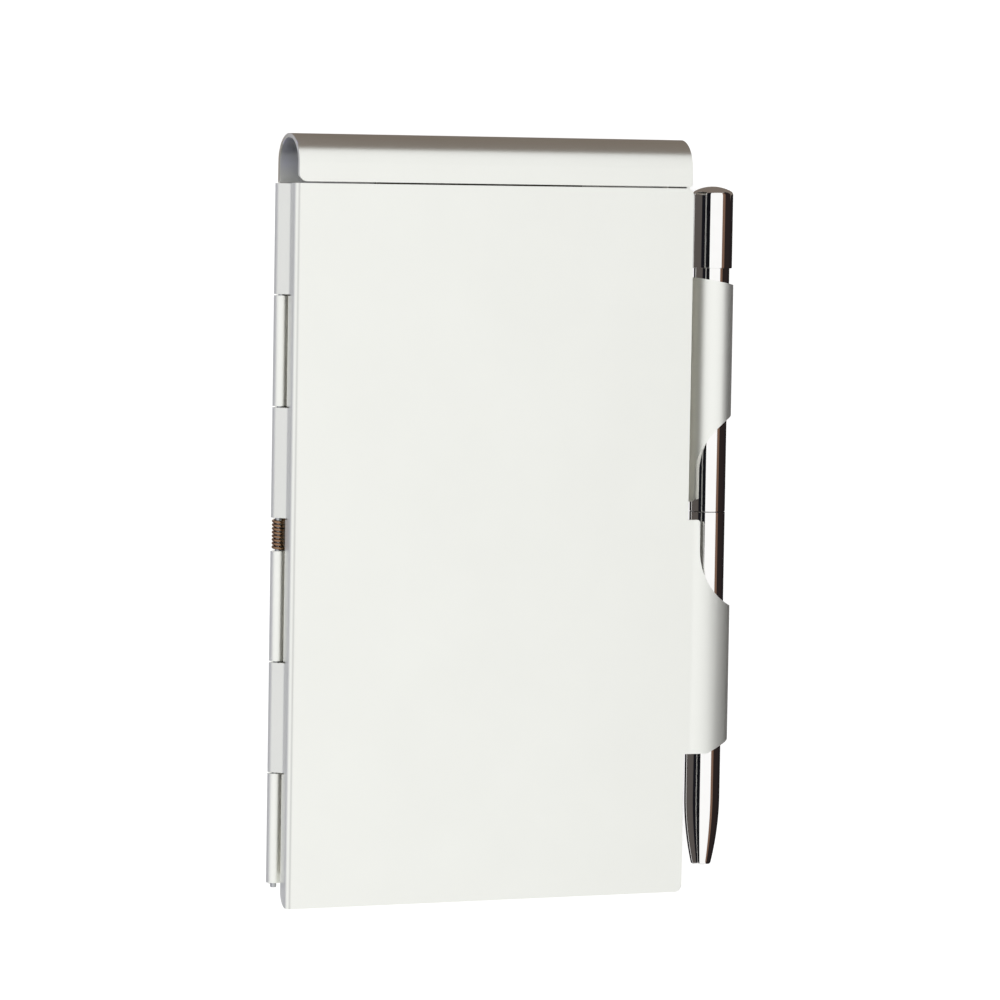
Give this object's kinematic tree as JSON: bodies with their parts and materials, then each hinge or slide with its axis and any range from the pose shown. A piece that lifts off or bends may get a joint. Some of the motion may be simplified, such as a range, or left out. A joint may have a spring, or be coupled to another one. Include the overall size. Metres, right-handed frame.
{
  "type": "metal notepad case with pen",
  "caption": "Flat sheet metal case for a paper pad: a cover on a sprung knuckle hinge, a rolled top edge, and a twist pen held in two rolled side loops.",
  "frame": {"origin": "under the middle of the closed case's overall box, on the flat back it lies on", "axes": "+X from the hinge towards the pen, +Y up the cover from its open end to the rolled end, +Z from the back to the front cover"},
  "size_m": [0.0892, 0.1356, 0.0102],
  "materials": {
    "aluminium_sheet": "satin anodised",
    "chrome": "polished",
    "steel": "plain drawn",
    "spring_steel": "bronze tempered",
    "brass": "turned",
    "plastic": "moulded",
    "paper": "uncoated",
    "card": "grey board",
    "tape": "woven tape"
  },
  "bodies": {
    "case": {"base_shell": "aluminium_sheet", "hinge_pin": "steel", "hinge_spring": "spring_steel", "pad_clip": "steel"},
    "cover": {"cover_shell": "aluminium_sheet"},
    "pad": {"pad_card": "card", "pad_paper": "paper", "pad_binding": "tape"},
    "pen_body": {"pen_lower_barrel": "chrome", "pen_joint_sleeve": "brass"},
    "pen_top": {"pen_upper_barrel": "chrome", "pen_cap": "chrome", "pen_cap_bush": "plastic", "pen_cam_sleeve": "plastic"},
    "pen_refill": {"pen_refill_tube": "plastic", "pen_refill_tip": "brass", "pen_cam_plunger": "plastic"}
  },
  "joints": [
    {"name": "cover_hinge", "type": "hinge", "parent": "case", "child": "cover", "pos_m": [-0.04329, 0, 0.0051], "axis": [0, -1, 0], "range_deg": [0, 180]},
    {"name": "pad_slide", "type": "slide", "parent": "case", "child": "pad", "axis": [0, -1, 0], "range_m": [0, 0.13]},
    {"name": "pen_slide", "type": "slide", "parent": "case", "child": "pen_body", "axis": [0, 1, 0], "range_m": [0, 0.115]},
    {"name": "pen_twist", "type": "hinge", "parent": "pen_body", "child": "pen_top", "pos_m": [0.04019, 0.00082, 0.0055], "axis": [0, -1, 0], "range_deg": [0, 180]},
    {"name": "refill_slide", "type": "slide", "parent": "pen_body", "child": "pen_refill", "axis": [0, -1, 0], "range_m": [0, 0.004]}
  ],
  "couplings": [
    {"joint": "pen_twist", "follows": "refill_slide", "rad_per_m": 785.4}
  ]
}
